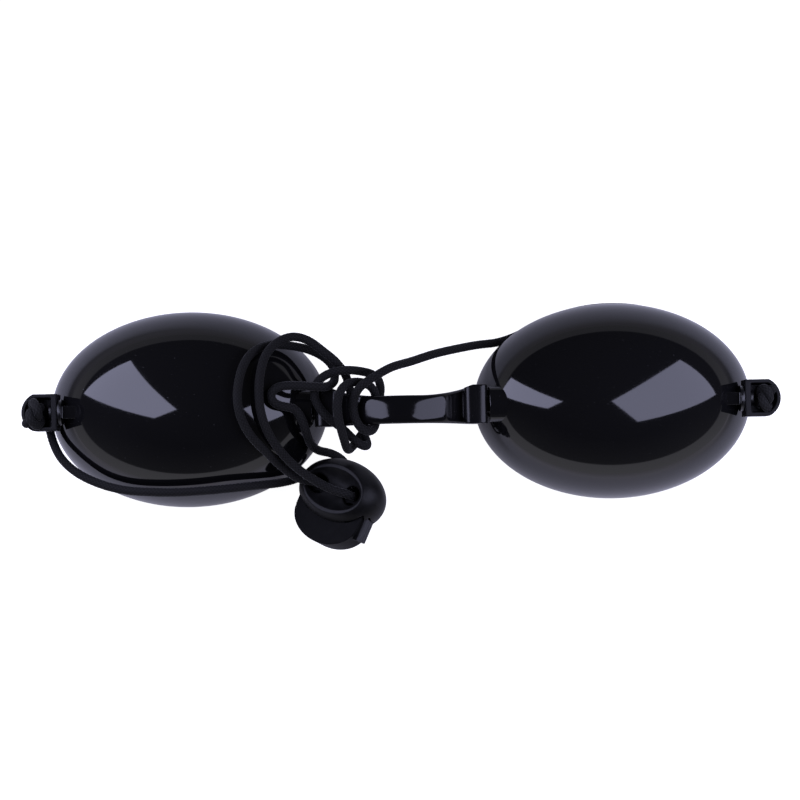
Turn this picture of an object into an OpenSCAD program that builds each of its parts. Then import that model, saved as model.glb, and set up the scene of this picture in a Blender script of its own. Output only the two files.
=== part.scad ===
// Opaque laser eye shield: two glossy eye cups, a hinged nose bridge, an elastic cord and a cord lock.
// It lies on the rims of its cups. X runs along the row of cups, Y across it, Z up from the table.

/* [Eye cups] */
// Length of a cup along the row
cup_length = 59.3; // [54:0.1:64]
// Width of a cup across the row
cup_width = 42; // [36:0.1:48]
// Height of the dome above the cup's widest section
dome_height = 18.5; // [16:0.1:24]
// Height of the widest section above the rim
skirt_depth = 4.5; // [3.5:0.1:5.5]
// Depth at which the skirt's inward curve would close
skirt_curve = 6.6; // [6:0.1:10]
// Wall thickness of a cup
cup_wall = 1.8; // [1.4:0.1:2.4]
// Distance between the middles of the two cups
cup_spacing = 90.8; // [86:0.1:100]

/* [Hinges] */
// Height of the hinge axes above the rims
link_height = 13.6; // [12:0.1:15]
// How far the hinges and the end pegs sit off the cups' middle line
link_offset = -0.5; // [-1.5:0.1:1.5]
// How far a hinge axis stands inboard of the cup's nearest point
hinge_standoff = 0.05; // [0:0.05:1.5]
// Radius of the bridge's rounded end blocks
block_radius = 2.5; // [2.3:0.05:2.8]
// Width of the bridge's end blocks
block_width = 8.2; // [7.6:0.1:9]
// Radius of a cup's hinge trunnions
trunnion_radius = 1.3; // [1.1:0.05:1.5]
// Radial running clearance of a trunnion in its bore
hinge_fit = 0.06; // [0.03:0.01:0.1]
// Thickness of a block's outer cheek outside the bore's end
cheek_skin = 0.8; // [0.5:0.05:1]
// Width of the neck between a cup and its trunnions
neck_width = 3.2; // [2.6:0.1:3.6]
// Thickness of the neck
neck_thickness = 1.6; // [1.2:0.1:2]
// How far the neck's middle lies below the hinge axis
neck_drop = 0.5; // [0:0.05:0.6]
// Clearance between the neck and the slot that it turns in
slot_gap = 0.3; // [0.2:0.05:0.5]
// How far a cup swings back past flat before its neck meets the slot, in degrees
fold_back = 8; // [6:0.5:10]
// Gap between a block and the boss that carries the neck
boss_gap = 0.4; // [0.3:0.05:1]
// Width of the rounded boss that carries the neck
boss_width = 7.6; // [6:0.1:8.4]
// Height of the boss
boss_height = 5.2; // [4.4:0.1:6]

/* [Nose bridge] */
// Width of the bridge strap
strap_width = 5.9; // [4.8:0.1:6.8]
// Thickness of the bridge strap
strap_thickness = 2; // [1.6:0.1:2.4]
// How far the strap sits off the hinges' middle line
strap_offset = -0.95; // [-1.1:0.05:1]
// Centreline radius of the arch over the nose
arch_radius = 15; // [12:0.5:18]
// Slope of the straight flanks that run down from the arch, in degrees
arch_slope = 30; // [20:1:36]
// Length over which the strap widens in a curve to each end block
flare_length = 11; // [8:0.1:12]

/* [End caps] */
// Height of the pegs' middle above the rims
peg_height = 15.6; // [15.4:0.1:17]
// Length of an end cap along the row
cap_length = 7.4; // [7:0.1:9]
// Width of an end cap across the row
cap_width = 7.7; // [7.2:0.1:9]
// Height of an end cap
cap_height = 5; // [4.6:0.1:6]
// Wall and floor thickness of an end cap
cap_wall = 0.8; // [0.6:0.05:1.2]
// Thickness of the cap's flange that the peg passes through
cap_flange = 1.2; // [0.9:0.1:1.6]
// Depth of the cap's round end
cap_round = 2.4; // [2:0.1:3.4]
// How far a cap reaches back over the cup's widest point
cap_overlap = 3.25; // [2:0.05:3.3]
// Radius of the shoulder that a cap is pushed up to
shoulder_radius = 2.7; // [2:0.1:2.9]
// Thickness of the shoulder
shoulder_depth = 0.8; // [0.5:0.1:1.2]
// Radius of the peg that holds a cap
peg_radius = 1.2; // [0.9:0.05:1.4]
// Radius of the peg's head inside the cap
peg_head = 1.6; // [1.5:0.05:1.65]
// Thickness of the peg's head
peg_head_depth = 0.7; // [0.5:0.1:1]
// Clearance of the peg in the cap
peg_fit = 0.05; // [0.02:0.01:0.1]

/* [Cord] */
// Diameter of the elastic cord
cord_diameter = 1.9; // [1.6:0.1:2]
// Clearance round the cord where it passes through an end cap's floor
cord_gap = 0.3; // [0.2:0.05:0.5]
// How far the hole for the cord sits off an end cap's middle line
cap_hole_offset = 0.6; // [0:0.1:1]
// Radius of a knot's lobes
knot_lobe = 1.7; // [1.4:0.05:1.75]

/* [Cord lock] */
// Width of the cord lock's body
lock_width = 20; // [19:0.1:22]
// Length of the lock's body along the plunger's travel
lock_length = 14.6; // [14:0.1:16]
// Roundness of the body: its height before the faces are cut flat
lock_round = 14.8; // [14:0.1:16]
// Thickness of the body between its flat faces
lock_thickness = 10.4; // [10:0.1:11]
// Radius of the two cord holes
cord_hole_radius = 2.1; // [1.8:0.05:2.2]
// Distance of each cord hole from the lock's middle
cord_hole_reach = 4.2; // [4.1:0.1:4.6]
// Width of the plunger
plunger_width = 15.6; // [14.6:0.1:16]
// Thickness of the plunger
plunger_thickness = 6; // [5:0.1:6.2]
// How far the plunger's end stands from the lock's middle
plunger_end = 11.6; // [11:0.1:13]
// Depth of the plunger's round end
plunger_round = 6; // [5:0.1:6.5]
// Length of the guide rib on the plunger's side
rib_length = 5; // [4:0.1:6]
// Height of the guide rib across the plunger's edge
rib_width = 3.2; // [2.4:0.1:4]
// How far the guide rib stands out from the plunger
rib_depth = 0.8; // [0.6:0.05:1]
// Travel of the plunger when it is pressed
plunger_travel = 3.5; // [2.5:0.1:3.6]
// Clearance round the plunger
plunger_fit = 0.3; // [0.2:0.05:0.35]
// Wire diameter of the lock's spring
wire_diameter = 0.4; // [0.3:0.05:0.5]
// Radius of the spring's coils to the middle of the wire
coil_radius = 1.25; // [1:0.05:1.35]
// Turns of the spring
spring_turns = 6; // [4:1:7]
// Length of the spring's pocket in the plunger
spring_depth = 4; // [3:0.1:4.5]
// How far the spring's pocket in the body goes past the plunger's slot
seat_depth = 1.6; // [1:0.1:1.8]
// Clearance at each end of the spring
spring_fit = 0.1; // [0.05:0.05:0.2]
// Length, width and depth of the dish in the body's face
dish_length = 15.2; // [12:0.1:16]
dish_width = 9.6; // [8:0.1:10.4]
dish_depth = 1.6; // [1:0.1:1.8]

/* [Hidden] */

// Smoothness of the true curves, and a margin that carries a cut past a face
$fn = 64;
past = 1;

gloss_black = [0.04, 0.04, 0.045];
satin_black = [0.08, 0.08, 0.085];
cord_black = [0.06, 0.06, 0.06];
steel = [0.62, 0.62, 0.63];

cord_radius = cord_diameter / 2;
cup_x = cup_spacing / 2;
cup_inner = cup_x - cup_length / 2;
cup_outer = cup_x + cup_length / 2;
hinge_x = cup_inner - hinge_standoff;
hinge = [hinge_x, link_offset, link_height];

// The boss reaches from its flat face back into the dome's wall
boss_face = hinge_x + block_radius + boss_gap;
boss_back = cup_x - cup_length / 4;

// Half length of the trunnions across the block, and the part of it that each cheek's bore takes
bore_half = block_width / 2 - cheek_skin;
trunnion_half = bore_half - slot_gap / 2;
slot_half = neck_width / 2 + slot_gap;
neck_top = neck_thickness / 2 - neck_drop;
slot_top = neck_top + slot_gap + (block_radius + boss_gap) * sin(fold_back);

// The strap meets each block where the block's round begins, level with the hinge
strap_end = hinge_x - block_radius;
strap_y = link_offset + strap_offset;
flare_end = hinge_x - trunnion_radius / 2;
flare_steps = 12;
arch_reach = arch_radius * sin(arch_slope);
flank_drop = (strap_end - arch_reach) * tan(arch_slope);
crest_height = link_height + flank_drop + arch_radius * (1 - cos(arch_slope));

cap_x = cup_outer - cap_overlap;
peg_root = cup_x + cup_length / 3;
cap_arc = (pow(cap_width / 2, 2) + pow(cap_round, 2)) / (2 * cap_round);
cap_base = peg_height - cap_height / 2;
cap_hole_x = cap_x + cap_flange + peg_head_depth + cord_radius + cord_gap;

// The lock rests on the cords under it, turned and rolled as they pull it
lock_turn = [-5, -25, -22];
lock_xy = [-12.8, -18.8];
lock_lift = 2.3;
slot_depth = plunger_travel + 0.2;
slot_width = plunger_width + 2 * plunger_fit;
slot_height = plunger_thickness + 2 * plunger_fit;
slot_corner = 3.2;
plunger_inner_end = -plunger_travel + cord_hole_radius + 1.2;
rib_start = -plunger_end + plunger_round - rib_length / 2;
spring_pocket = coil_radius + wire_diameter / 2 + 2 * spring_fit;
dish_rise = 1.2;
spring_seat = slot_depth + seat_depth;
spring_start = plunger_inner_end - spring_depth;

function x_turn(p, a) = [p.x, p.y * cos(a) - p.z * sin(a), p.y * sin(a) + p.z * cos(a)];
function y_turn(p, a) = [p.x * cos(a) + p.z * sin(a), p.y, p.z * cos(a) - p.x * sin(a)];
function z_turn(p, a) = [p.x * cos(a) - p.y * sin(a), p.x * sin(a) + p.y * cos(a), p.z];
function lock_turned(p) = z_turn(y_turn(x_turn(p, lock_turn.x), lock_turn.y), lock_turn.z);

// The lowest points of the lock's rolled body come from its flat back face's rounded edge
back_x = lock_width / 2 * sqrt(1 - pow(lock_thickness / lock_round, 2));
back_y = lock_length / 2 * sqrt(1 - pow(lock_thickness / lock_round, 2));
lock_low = min([for (a = [0:5:355])
    lock_turned([back_x * cos(a), back_y * sin(a), -lock_thickness / 2]).z]);
lock_at = [lock_xy.x, lock_xy.y, lock_lift - lock_low];
function lock_place(p) = lock_at + lock_turned(p);

// Each cord end stops in its hole, just short of the plunger
hole_stop = plunger_thickness / 2 + plunger_fit;
function hole_end(side, face) = lock_place([side * cord_hole_reach, 0, face * hole_stop]);
function hole_mouth(side, face) = lock_place([side * cord_hole_reach, 0, face * lock_thickness / 2]);

// The winding crosses over the strap's left end three times, loosely and one turn over another.
// Each point is about a twelfth of a turn on from the last, and the first one lies behind the strap.
winding_points = [
    [-12.7, 8.6, 14.6], [-11.4, 6.4, 12.8], [-10.6, 2.5, 11.7], [-9.4, -2, 11.4], [-7.9, -6.2, 12.8],
    [-7.3, -8.2, 14.6], [-9.2, -7.5, 16.2], [-12.4, -5, 16.6], [-15.6, -2.6, 17.5], [-18.1, 1.4, 17.6],
    [-17.7, 4.4, 17.4], [-15.4, 6.3, 17.3], [-11.8, 7.1, 17.4], [-8, 6.8, 16], [-5, 5.8, 13.6],
    [-4.2, 3.2, 11.2], [-5.6, -1.2, 8.8], [-8.4, -6, 9.2], [-10.4, -8.8, 11.8], [-11.2, -9.4, 15.2],
    [-11.9, -7.8, 18.4], [-12.8, -4.2, 20.2], [-13.2, 0.2, 20.4], [-12, 3.6, 20], [-9.2, 5, 18.8],
    [-6.4, 5, 17.4], [-4.6, 3.6, 15.8], [-4.4, 0.6, 15], [-5.2, -3.9, 14.8], [-6.2, -5.9, 16.8],
    [-8.5, -5.3, 18.9], [-10, -1.8, 18.4], [-9.8, 1.2, 19], [-8.2, 3.8, 20.8], [-5.4, 6, 20.2]];

// A smooth curve through a list of points, with a number of steps from each to the next
function curve_at(p, i, t) = let (
        last = len(p) - 1,
        a = p[max(i - 1, 0)],
        b = p[i],
        c = p[i + 1],
        d = p[min(i + 2, last)])
    b + t * (c - a) / 2 + pow(t, 2) * (2 * a - 5 * b + 4 * c - d) / 2
        + pow(t, 3) * (3 * b - a - 3 * c + d) / 2;
function curve(p, steps) = concat(
    [for (i = [0:len(p) - 2]) for (k = [0:steps - 1]) curve_at(p, i, k / steps)], [p[len(p) - 1]]);
winding_path = curve(winding_points, 2);
winding_last = len(winding_path) - 1;
winding_in = winding_path[0];
winding_out = winding_path[winding_last];

// Routes of the free cord, chosen by hand along the photographed line
left_run = concat([
    [-75, -1.1, 15], [-75, -1.1, 12.8], [-74.9, -2, 11.2], [-74.6, -4.2, 10.6], [-73.7, -7.2, 11],
    [-71.8, -10.4, 12], [-68.6, -13.2, 12.8], [-64, -15.5, 13.4], [-58.5, -17, 14.6], [-53, -17.5, 16],
    [-47.5, -17.7, 16.8], [-42, -17.5, 17], [-36, -17.1, 16.4], [-30.5, -16.6, 14.2], [-26.2, -16.2, 10.9],
    [-23.4, -15.6, 7.5], [-21.7, -14.8, 4.3], [-19.6, -13.8, 1.3], [-16.8, -14.4, 1],
    [-14.8, -16.2, 1], [-13.9, -18.2, 1.5]],
    [hole_mouth(-1, -1), hole_end(-1, -1)]);

outer_loop = concat([hole_end(-1, 1), hole_mouth(-1, 1)], [
    [-21.8, -15.4, 14], [-25, -13, 15.3], [-28.5, -9.4, 18.9], [-31, -6.6, 21.1], [-32.9, -3, 22.7],
    [-33.7, 0.8, 23.2], [-33.4, 4.8, 22.6], [-32.4, 8.5, 21.1], [-30.4, 11.4, 18.8], [-27.6, 12.8, 16.3],
    [-24.3, 12.8, 14], [-20.7, 12.3, 12.8], [-17.1, 10.9, 12.4], [-14.8, 9.1, 12.1], [-13.8, 7.4, 12],
    [-13.9, 6, 13.2], [-13.9, 4.8, 15.8], [-15.2, 3.6, 18.4], [-17.8, 3.6, 20.2], [-21.5, 3.8, 20.2],
    [-24.8, 3.6, 20], [-26.6, 1.8, 20.5], [-25, 0, 20], [-22, -0.6, 18.9], [-20.8, -2.8, 18.3],
    [-20, -6.1, 16.9], [-19.9, -8.2, 13.6], [-18.6, -9.8, 9.8], [-16.7, -10.2, 6], [-13.8, -11.8, 2.6],
    [-10.8, -15, 1.7], [-8.2, -18.5, 2.2], [-6.8, -21.1, 4.1]],
    [hole_mouth(1, -1), hole_end(1, -1)]);

inner_loop = concat([hole_end(1, 1), hole_mouth(1, 1)], [
    [-14.8, -17.8, 15.4], [-18.4, -15.8, 16], [-22.3, -12.9, 16.8], [-25.6, -9.2, 18.8],
    [-27.8, -5.4, 20.8], [-29, -1.4, 21.9], [-29.3, 2.8, 22], [-28.9, 7, 21.4], [-27.9, 10.4, 20],
    [-25.8, 13, 18.2], [-22.4, 14.5, 16.2], [-18.6, 13.7, 15], [-15.7, 11.5, 15.6]],
    [winding_in + cord_diameter * unit(winding_in - winding_path[1]), winding_in]);

right_run = concat([winding_out,
    winding_out + 2 * cord_diameter * unit(winding_out - winding_path[winding_last - 1])], [
    [2.5, 9.2, 15], [7, 10.4, 11.6], [12, 11.7, 7.6], [17, 12.8, 3.6], [21.5, 13.4, 1.4],
    [25.9, 14.9, 1.1], [30.4, 17.2, 1], [35.5, 19.1, 1], [41, 20.3, 1], [46.5, 20.6, 1], [52, 20.1, 1],
    [57.5, 18.6, 1], [62.5, 16.3, 1], [67.3, 13, 1], [71.1, 8.8, 1], [73.8, 4.4, 1.1], [76.2, 1, 2.6],
    [76.8, -0.5, 6], [75.7, -1, 10.4], [75, -1.1, 12.8], [75, -1.1, 15]]);

function unit(v) = v / norm(v);
function tangents(p) = let (last = len(p) - 1)
    [for (i = [0:last]) unit(p[min(i + 1, last)] - p[max(i - 1, 0)])];
function side_of(t) = unit(cross(t, abs(t.z) < 0.9 ? [0, 0, 1] : [1, 0, 0]));
function normals(t, i = 0, n = undef) = i == len(t) ? []
    : let (m = i == 0 ? side_of(t[0]) : unit(n - (n * t[i]) * t[i])) concat([m], normals(t, i + 1, m));

// A closed tube of flat-sided rings along a path
module tube(path, radius, sides) {
    last = len(path) - 1;
    t = tangents(path);
    n = normals(t);
    rings = [for (i = [0:last]) for (k = [0:sides - 1]) let (a = 360 * k / sides)
        path[i] + radius * (cos(a) * n[i] + sin(a) * cross(t[i], n[i]))];
    walls = [for (i = [0:last - 1]) for (k = [0:sides - 1]) let (
            a = i * sides + k,
            b = i * sides + (k + 1) % sides)
        each [[a, a + sides, b], [b, a + sides, b + sides]]];
    first_middle = (last + 1) * sides;
    caps = [for (k = [0:sides - 1]) each [
        [first_middle, k, (k + 1) % sides],
        [first_middle + 1, last * sides + (k + 1) % sides, last * sides + k]]];
    polyhedron(concat(rings, [path[0], path[last]]), concat(walls, caps));
}

// Least gap between parts of a winding's own tube that are more than half a turn apart along it
function least_gap(path, diameter, apart) = min([for (i = [0:len(path) - 1 - apart])
    for (j = [i + apart:len(path) - 1]) norm(path[i] - path[j])]) - diameter;

// Half of an ellipsoid, above or below its widest section, down to a depth
module half_egg(size, up, depth) {
    intersection() {
        scale(size) sphere(1);
        translate([-size.x - past, -size.y - past, up ? 0 : -depth])
            cube([2 * (size.x + past), 2 * (size.y + past), up ? size.z + past : depth]);
    }
}

// A cup's egg shape, drawn in by a wall and carried past the rim by a margin
module egg(inset, margin) {
    a = cup_length / 2 - inset;
    b = cup_width / 2 - inset;
    translate([cup_x, 0, skirt_depth]) {
        half_egg([a, b, dome_height - inset], true, 0);
        half_egg([a, b, skirt_curve], false, skirt_depth + margin);
    }
}

module along_y(length, radius) {
    rotate([90, 0, 0]) cylinder(h = length, r = radius, center = true);
}

module along_x(length, radius) {
    rotate([0, 90, 0]) cylinder(h = length, r = radius);
}

// The right cup: a shell with its hinge neck inboard and the peg for its end cap outboard
module cup() {
    difference() {
        union() {
            egg(0, 0);
            translate([boss_face, link_offset, link_height]) rotate([0, 90, 0])
                linear_extrude(boss_back - boss_face) scale([boss_height, boss_width] / 2) circle(1);
            translate([peg_root, link_offset, peg_height])
                along_x(cap_x + cap_flange - peg_root, peg_radius);
            translate([cap_x - peg_fit - shoulder_depth, link_offset, peg_height])
                along_x(shoulder_depth, shoulder_radius);
        }
        egg(cup_wall, past);
    }
    translate([cap_x + cap_flange, link_offset, peg_height]) along_x(peg_head_depth, peg_head);
    translate(hinge) {
        along_y(2 * trunnion_half, trunnion_radius);
        translate([0, -neck_width / 2, neck_top - neck_thickness])
            cube([boss_face - hinge_x + past / 4, neck_width, neck_thickness]);
    }
}

module left_cup() {
    color(gloss_black) mirror([1, 0, 0]) cup();
}

module right_cup() {
    color(gloss_black) cup();
}

// Side view of the strap, X against Z: an arch between two straight flanks that end in the blocks
arch_steps = 24;
function strap_side(grow) = let (
        r = arch_radius + grow,
        reach = strap_end + block_radius / 3,
        drop = tan(arch_slope) * (reach - r * sin(arch_slope)),
        foot = crest_height - arch_radius + r * cos(arch_slope) - drop)
    concat([[-reach, foot]],
        [for (i = [0:arch_steps]) let (a = arch_slope * (2 * i / arch_steps - 1))
            [r * sin(a), crest_height - arch_radius + r * cos(a)]],
        [[reach, foot]]);

module arch_profile() {
    upper = strap_side(strap_thickness / 2);
    lower = strap_side(-strap_thickness / 2);
    polygon(concat(upper, [for (i = [len(lower) - 1:-1:0]) lower[i]]));
}

// One edge of the bridge in plan: the strap's edge, which curves out to the block's
function plan_edge(strap_edge, block_edge) = concat(
    [for (i = [0:flare_steps]) let (t = i / flare_steps)
        [flare_end - flare_length * (1 - t), strap_edge + (block_edge - strap_edge) * t * t]],
    [[hinge_x + block_radius + past, block_edge]]);

module bridge_plan() {
    low = plan_edge(strap_y - strap_width / 2, link_offset - block_width / 2);
    high = plan_edge(strap_y + strap_width / 2, link_offset + block_width / 2);
    last = len(low) - 1;
    polygon(concat([for (i = [last:-1:0]) [-low[i].x, low[i].y]], low,
        [for (i = [last:-1:0]) high[i]], [for (p = high) [-p.x, p.y]]));
}

// The bores and the slot that an end block has for a cup's trunnions and neck
module hinge_cuts() {
    translate(hinge) along_y(2 * bore_half, trunnion_radius + hinge_fit);
    translate([hinge_x - trunnion_radius - slot_gap, link_offset - slot_half,
            link_height - block_radius - past])
        cube([2 * block_radius, 2 * slot_half, block_radius + past + slot_top]);
}

module nose_bridge() {
    color(gloss_black) difference() {
        intersection() {
            union() {
                rotate([90, 0, 0]) linear_extrude(4 * block_width, center = true) arch_profile();
                for (side = [0, 1]) mirror([side, 0, 0]) translate(hinge)
                    along_y(4 * block_width, block_radius);
            }
            linear_extrude(crest_height + strap_thickness) bridge_plan();
        }
        for (side = [0, 1]) mirror([side, 0, 0]) hinge_cuts();
    }
}

// The outline of a cap, flat at the cup's side and round at its outer end
module cap_outline(length, width, round_end, arc) {
    translate([0, -width / 2]) square([length - round_end, width]);
    intersection() {
        translate([0, -width / 2]) square([length, width]);
        translate([length - arc, 0]) circle(arc, $fn = 96);
    }
}

// The right end cap: an open pocket with a bored flange, and a hole in its floor for the cord
module end_cap() {
    pocket_length = cap_length - cap_flange - cap_wall;
    pocket_width = cap_width - 2 * cap_wall;
    pocket_arc = cap_arc - cap_wall;
    pocket_round = pocket_arc - sqrt(pow(pocket_arc, 2) - pow(pocket_width / 2, 2));
    difference() {
        translate([cap_x, link_offset, cap_base])
            linear_extrude(cap_height) cap_outline(cap_length, cap_width, cap_round, cap_arc);
        translate([cap_x + cap_flange, link_offset, cap_base + cap_wall])
            linear_extrude(cap_height)
                cap_outline(pocket_length, pocket_width, pocket_round, pocket_arc);
        translate([cap_x - past, link_offset, peg_height])
            along_x(cap_flange + 2 * past, peg_radius + peg_fit);
        translate([cap_hole_x, link_offset - cap_hole_offset, cap_base - past])
            cylinder(h = cap_wall + 2 * past, r = cord_radius + cord_gap);
    }
}

module left_end_cap() {
    color(gloss_black) mirror([1, 0, 0]) end_cap();
}

module right_end_cap() {
    color(gloss_black) end_cap();
}

// A knot: the lobes where the cord crosses itself
module knot(lobes) {
    for (at = lobes) translate(at) sphere(knot_lobe);
}

module cord_left_knot() {
    color(cord_black)
        knot([[-76.4, -0.6, 16], [-76.2, 0.4, 17.9], [-76.2, -1.5, 17.9], [-77.2, -2.1, 20]]);
}

module cord_right_knot() {
    color(cord_black) knot([[76.2, -0.4, 16], [76.1, -1.5, 17.8], [75.7, 0.6, 17.5]]);
}

module cord_left_run() {
    color(cord_black) tube(left_run, cord_radius, 8);
}

module cord_outer_loop() {
    color(cord_black) tube(outer_loop, cord_radius, 8);
}

module cord_inner_loop() {
    color(cord_black) tube(inner_loop, cord_radius, 8);
}

module cord_right_run() {
    color(cord_black) tube(right_run, cord_radius, 8);
}

module cord_winding() {
    echo(winding_gap = least_gap(winding_path, cord_diameter, 8));
    color(cord_black) tube(winding_path, cord_radius, 6);
}

module in_lock() {
    translate(lock_at) rotate(lock_turn) children();
}

// The slot that the plunger slides in, or the plunger's own inner block, with rounded inner corners
module plunger_plan(width, inner_end, corner, outer_end) {
    translate([-width / 2, -outer_end]) square([width, outer_end + inner_end - corner]);
    translate([-width / 2 + corner, -outer_end]) square([width - 2 * corner, outer_end + inner_end]);
    for (side = [-1, 1]) translate([side * (width / 2 - corner), inner_end - corner]) circle(corner);
}

module cord_holes(radius, y) {
    for (side = [-1, 1]) translate([side * cord_hole_reach, y, 0])
        cylinder(h = 2 * lock_thickness, r = radius, center = true);
}

// The plunger's guide rib, or the notch that it slides in
module rib(fit, length) {
    translate([plunger_width / 2 - past, rib_start, -rib_width / 2 - fit])
        cube([past + rib_depth + fit, length, rib_width + 2 * fit]);
}

module lock_body() {
    color(satin_black) in_lock() difference() {
        intersection() {
            scale([lock_width, lock_length, lock_round] / 2) sphere(1);
            cube([2 * lock_width, 2 * lock_length, lock_thickness], center = true);
        }
        translate([0, 0, -slot_height / 2]) linear_extrude(slot_height)
            plunger_plan(slot_width, slot_depth, slot_corner, lock_length);
        cord_holes(cord_hole_radius, 0);
        rib(plunger_fit, rib_length + plunger_travel + plunger_fit);
        translate([0, 0, lock_thickness / 2 + dish_rise])
            scale([dish_length / 2, dish_width / 2, dish_rise + dish_depth]) sphere(1);
        rotate([-90, 0, 0]) cylinder(h = spring_seat, r = spring_pocket);
    }
}

module lock_plunger() {
    color(satin_black) in_lock() difference() {
        translate([0, 0, -plunger_thickness / 2]) linear_extrude(plunger_thickness) {
            plunger_plan(plunger_width, plunger_inner_end, slot_corner - plunger_fit,
                plunger_end - plunger_round);
            intersection() {
                translate([-plunger_width / 2, -plunger_end]) square([plunger_width, plunger_end]);
                translate([0, plunger_round - plunger_end])
                    scale([plunger_width / 2, plunger_round]) circle(1);
            }
        }
        cord_holes(cord_hole_radius, -plunger_travel);
        translate([0, spring_start, 0]) rotate([-90, 0, 0])
            cylinder(h = lock_length, r = spring_pocket);
    }
    color(satin_black) in_lock() rib(0, rib_length);
}

// The spring: one wire with its ends turned straight into their seats
spring_length = spring_seat - spring_start - 2 * spring_fit;
spring_rings = 8 * spring_turns;
spring_rise = spring_length - wire_diameter;
spring_path = [for (i = [0:spring_rings]) let (a = 360 * i / 8)
    [coil_radius * cos(a), spring_start + spring_fit + wire_diameter / 2 + spring_rise * i / spring_rings,
        coil_radius * sin(a)]];

module lock_spring() {
    echo(spring_gap = least_gap(spring_path, wire_diameter, 5));
    color(steel) in_lock() tube(spring_path, wire_diameter / 2, 6);
}

left_cup();
right_cup();
nose_bridge();
left_end_cap();
right_end_cap();
cord_left_knot();
cord_right_knot();
cord_left_run();
cord_outer_loop();
cord_inner_loop();
cord_winding();
cord_right_run();
lock_body();
lock_plunger();
lock_spring();
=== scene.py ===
# %% [markdown]
# # An opaque laser eye shield, seen from above
# Two glossy black eye cups hang on an arched nose bridge, and one braided elastic cord runs from cap to
# cap through a sprung cord lock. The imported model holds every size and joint. Here each smooth or soft
# piece is built again with a fine mesh, at the place that the model gives.

# %% Load the fixed frame
import math

import bmesh
import bpy
import numpy as np
from mathutils import Matrix, Vector


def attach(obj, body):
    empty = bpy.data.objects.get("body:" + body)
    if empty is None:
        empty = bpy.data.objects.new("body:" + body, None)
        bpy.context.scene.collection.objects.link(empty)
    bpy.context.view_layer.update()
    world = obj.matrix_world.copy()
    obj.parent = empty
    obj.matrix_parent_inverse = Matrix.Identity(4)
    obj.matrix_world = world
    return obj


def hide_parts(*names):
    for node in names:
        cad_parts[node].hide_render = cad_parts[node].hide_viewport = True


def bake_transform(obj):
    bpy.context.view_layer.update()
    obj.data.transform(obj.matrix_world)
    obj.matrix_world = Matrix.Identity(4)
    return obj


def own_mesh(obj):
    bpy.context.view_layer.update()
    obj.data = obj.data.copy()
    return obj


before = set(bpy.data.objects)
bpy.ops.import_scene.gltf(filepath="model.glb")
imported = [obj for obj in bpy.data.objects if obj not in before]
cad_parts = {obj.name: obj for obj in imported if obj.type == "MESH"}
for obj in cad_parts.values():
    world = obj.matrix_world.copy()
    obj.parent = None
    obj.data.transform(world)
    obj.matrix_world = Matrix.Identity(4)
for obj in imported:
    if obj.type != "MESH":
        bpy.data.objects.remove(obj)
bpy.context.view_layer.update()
MM = 0.001
print("nodes", sorted(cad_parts))

# %% [markdown]
# ## The camera
# The picture was taken from almost straight above with a longish lens. It is tied to the object by the
# millimetres that one pixel covers and by the pixel on which the middle of the shield falls.

# %% Camera
PICTURE = 800
MM_PER_PIXEL = 0.2148
MIDDLE_PIXEL = (401.0, 405.0)
AIM_HEIGHT = 6.0
LENS, SENSOR = 85.0, 36.0
LEAN, ROLL = math.radians(2.5), math.radians(1.2)

distance = PICTURE / 2 * MM_PER_PIXEL * LENS / (SENSOR / 2)
level_up = Vector((0, math.cos(LEAN), math.sin(LEAN)))
level_right = Vector((1, 0, 0))
camera_back = Vector((0, -math.sin(LEAN), math.cos(LEAN)))
camera_right = level_right * math.cos(ROLL) - level_up * math.sin(ROLL)
camera_up = level_up * math.cos(ROLL) + level_right * math.sin(ROLL)
aim = (Vector((0, 0, AIM_HEIGHT))
       - camera_right * (MIDDLE_PIXEL[0] - PICTURE / 2) * MM_PER_PIXEL
       + camera_up * (MIDDLE_PIXEL[1] - PICTURE / 2) * MM_PER_PIXEL)
eye = (aim + camera_back * distance) * MM

camera_data = bpy.data.cameras.new("camera")
camera_data.lens, camera_data.sensor_width = LENS, SENSOR
camera_data.clip_start, camera_data.clip_end = 0.01, 20
camera = bpy.data.objects.new("camera", camera_data)
bpy.context.collection.objects.link(camera)
turn = Matrix((camera_right, camera_up, camera_back)).transposed()
camera.matrix_world = Matrix.Translation(eye) @ turn.to_4x4()
bpy.context.scene.camera = camera

# %% [markdown]
# ## Small helpers for meshes
# A finished piece sits at the origin with its place in its mesh, so that patterns on object coordinates
# stay where they are. These helpers take millimetres and write metres.

# %% Mesh helpers
ROD_SIDES, BALL_AROUND, BALL_UP = 96, 160, 80


def added(name, data):
    """A new object in the scene."""
    thing = bpy.data.objects.new(name, data)
    bpy.context.collection.objects.link(thing)
    return thing


def new_piece(name, points, faces, smooth=True):
    """A mesh object from points in millimetres."""
    mesh = bpy.data.meshes.new(name)
    mesh.from_pydata([tuple(MM * c for c in p) for p in points], [], faces)
    mesh.validate()
    mesh.polygons.foreach_set("use_smooth", [smooth] * len(mesh.polygons))
    return added(name, mesh)


def settled(piece):
    """Swaps a piece's mesh for what its modifiers make of it."""
    bpy.context.view_layer.update()
    seen = piece.evaluated_get(bpy.context.evaluated_depsgraph_get())
    mesh = bpy.data.meshes.new_from_object(seen)
    piece.modifiers.clear()
    piece.data = mesh
    return piece


def joined(name, *pieces):
    """One piece from several whose meshes may run through each other."""
    whole = bmesh.new()
    for part in pieces:
        whole.from_mesh(part.data)
        bpy.data.objects.remove(part)
    mesh = bpy.data.meshes.new(name)
    whole.to_mesh(mesh)
    whole.free()
    return added(name, mesh)


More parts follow.
